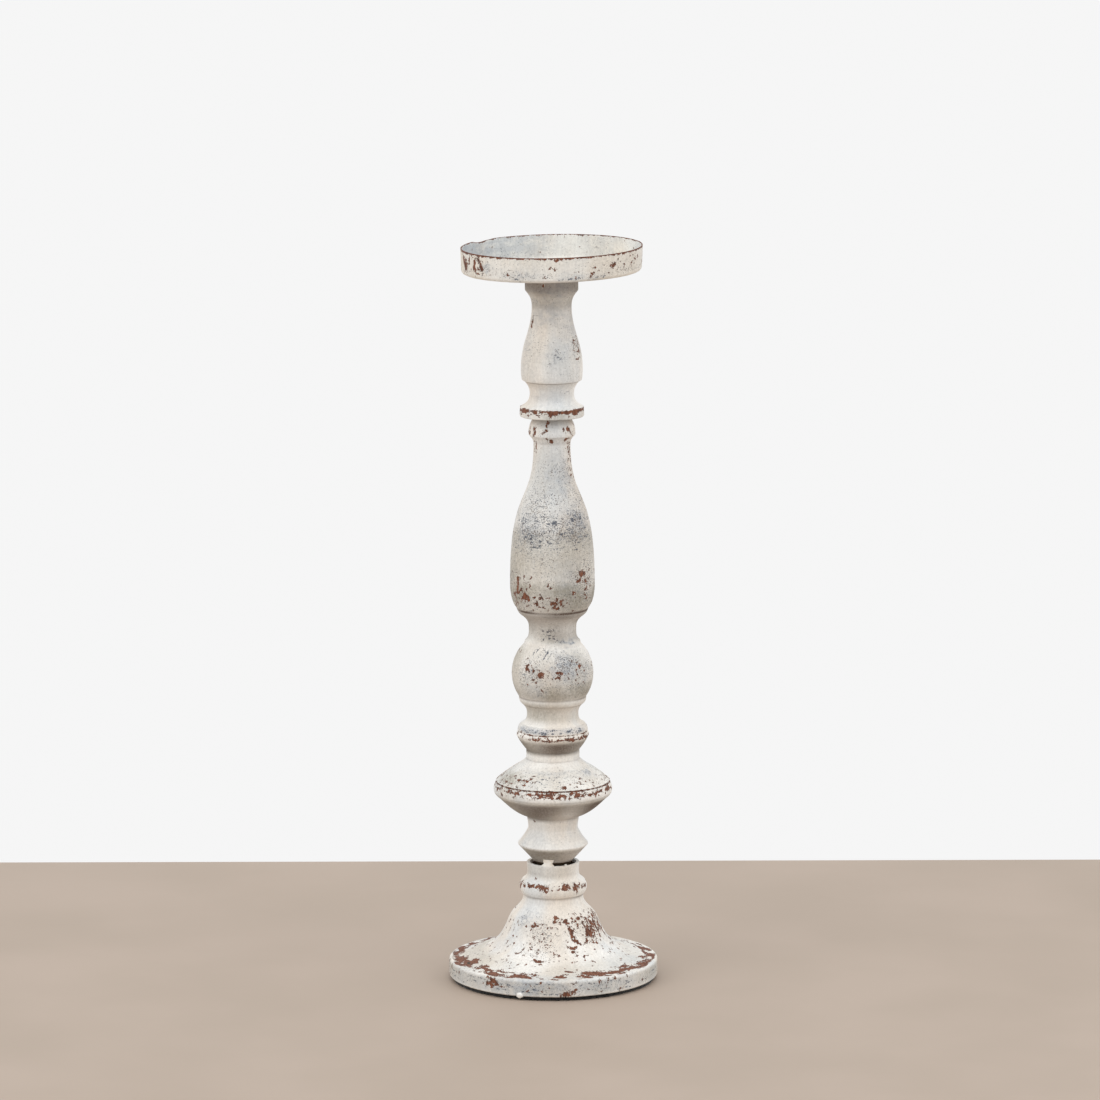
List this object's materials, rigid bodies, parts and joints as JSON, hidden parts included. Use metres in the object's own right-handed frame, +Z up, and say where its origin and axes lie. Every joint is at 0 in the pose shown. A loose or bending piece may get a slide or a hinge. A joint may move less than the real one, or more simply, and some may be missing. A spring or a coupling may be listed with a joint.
{
  "type": "turned wooden pillar candlestick",
  "caption": "Tall turned wooden pillar candlestick with a bell foot, a baluster shaft with rings, a disc and a ball, and a shallow pressed steel pan that holds a pillar candle.",
  "frame": {"origin": "centre of the felt's underside, on the turning axis", "axes": "+Z up along the turning axis, -Y towards the side seen in the picture"},
  "size_m": [0.1184, 0.1184, 0.4192],
  "materials": {
    "painted_wood": "chalky off-white paint over turned wood, rubbed through to blue-grey and brown at the edges",
    "painted_steel": "matte pale grey paint over pressed steel, worn to rust brown along the rim",
    "black_felt": "matte black felt with a soft pile",
    "screw_steel": "zinc-plated, dull",
    "raw_wood": "bare, planed",
    "filler": "smoothed and painted over"
  },
  "bodies": {
    "root": {"felt_pad": "black_felt", "base": "painted_wood", "base_screw": "screw_steel", "main_shaft": "painted_wood", "joint_filler": "filler", "upper_dowel": "raw_wood", "upper_spindle": "painted_wood", "candle_pan": "painted_steel", "pan_screw": "screw_steel"}
  },
  "joints": []
}
